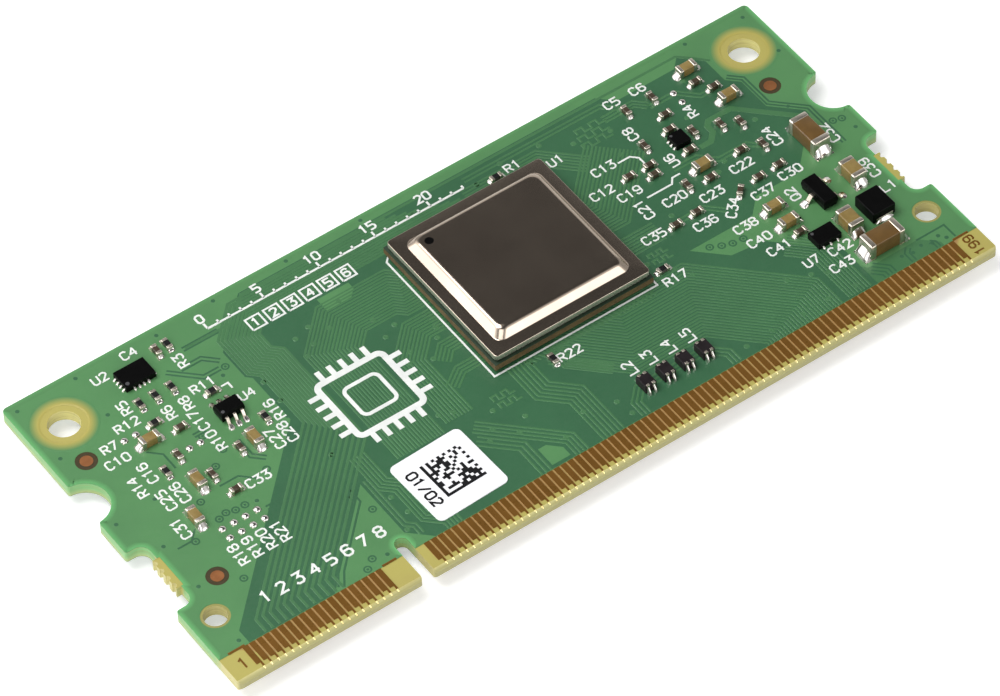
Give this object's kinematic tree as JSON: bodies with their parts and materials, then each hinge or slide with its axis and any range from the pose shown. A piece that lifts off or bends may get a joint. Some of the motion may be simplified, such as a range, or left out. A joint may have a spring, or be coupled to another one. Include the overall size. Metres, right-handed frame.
{
  "type": "system on module",
  "caption": "Small-outline compute module: green card with a keyed gold edge connector, lidded processor, memory packages and soldered chip parts.",
  "frame": {"origin": "under the middle of the card, on the plane that its underside packages rest on", "axes": "+X along the contact edge towards the far end from the key, +Y from the contact edge to the rear edge, +Z out of the processor's face"},
  "size_m": [0.0676, 0.031, 0.0044],
  "materials": {
    "laminate": "glass-fibre laminate with a sawn, slightly fuzzy edge",
    "solder_mask": "semi-gloss green solder mask over copper and bare laminate",
    "gold_contacts": "thin gold plating",
    "copper": "bare copper with a protective finish",
    "solder": "bright reflowed solder",
    "tin_plating": "matt tin plating",
    "processor_laminate": "brown package laminate",
    "silicon": "ground silicon",
    "thermal_paste": "dry white paste",
    "lid_adhesive": "cured silicone bead",
    "lid_metal": "nickel-plated drawn sheet",
    "package_laminate": "thin green package laminate",
    "moulding": "fine-grained black moulding compound",
    "dark_ceramic": "dark brown fired ceramic",
    "tan_ceramic": "tan fired ceramic",
    "brown_ceramic": "brown fired ceramic",
    "white_ceramic": "white alumina",
    "resistor_film": "black overcoat",
    "ferrite": "grey-black pressed ferrite",
    "label_paper": "coated white label stock with a printed block pattern"
  },
  "bodies": {
    "root": {"circuit_board": "laminate", "solder_mask_top": "solder_mask", "solder_mask_bottom": "solder_mask", "edge_contacts_top": "gold_contacts", "edge_contacts_bottom": "gold_contacts", "fiducial_marks": "copper", "copper_pads_top": "copper", "copper_pads_bottom": "copper", "processor_balls": "solder", "memory_balls": "solder", "flash_balls": "solder", "solder_fillets": "solder", "solder_domes": "solder", "underside_solder_fillets": "solder", "small_capacitor_ends": "tin_plating", "medium_capacitor_ends": "tin_plating", "large_capacitor_ends": "tin_plating", "bulk_capacitor_ends": "tin_plating", "resistor_ends": "tin_plating", "interface_chip_lands": "tin_plating", "buffer_chip_lands": "tin_plating", "regulator_chip_lands": "tin_plating", "gate_chip_leads": "tin_plating", "transistor_leads": "tin_plating", "power_coil_terminals": "tin_plating", "signal_filter_terminals": "tin_plating", "underside_capacitor_ends": "tin_plating", "processor_substrate": "processor_laminate", "processor_die": "silicon", "processor_paste": "thermal_paste", "processor_lid_adhesive": "lid_adhesive", "processor_lid": "lid_metal", "memory_substrate": "package_laminate", "flash_substrate": "package_laminate", "memory_body": "moulding", "flash_body": "moulding", "interface_chip_body": "moulding", "buffer_chip_body": "moulding", "regulator_chip_body": "moulding", "gate_chip_body": "moulding", "transistor_body": "moulding", "small_capacitor_bodies": "dark_ceramic", "underside_capacitor_bodies": "dark_ceramic", "medium_capacitor_bodies": "tan_ceramic", "large_capacitor_bodies": "tan_ceramic", "bulk_capacitor_bodies": "brown_ceramic", "resistor_bodies": "white_ceramic", "resistor_films": "resistor_film", "power_coil_body": "ferrite", "signal_filter_bodies": "ferrite", "label": "label_paper"}
  },
  "joints": []
}
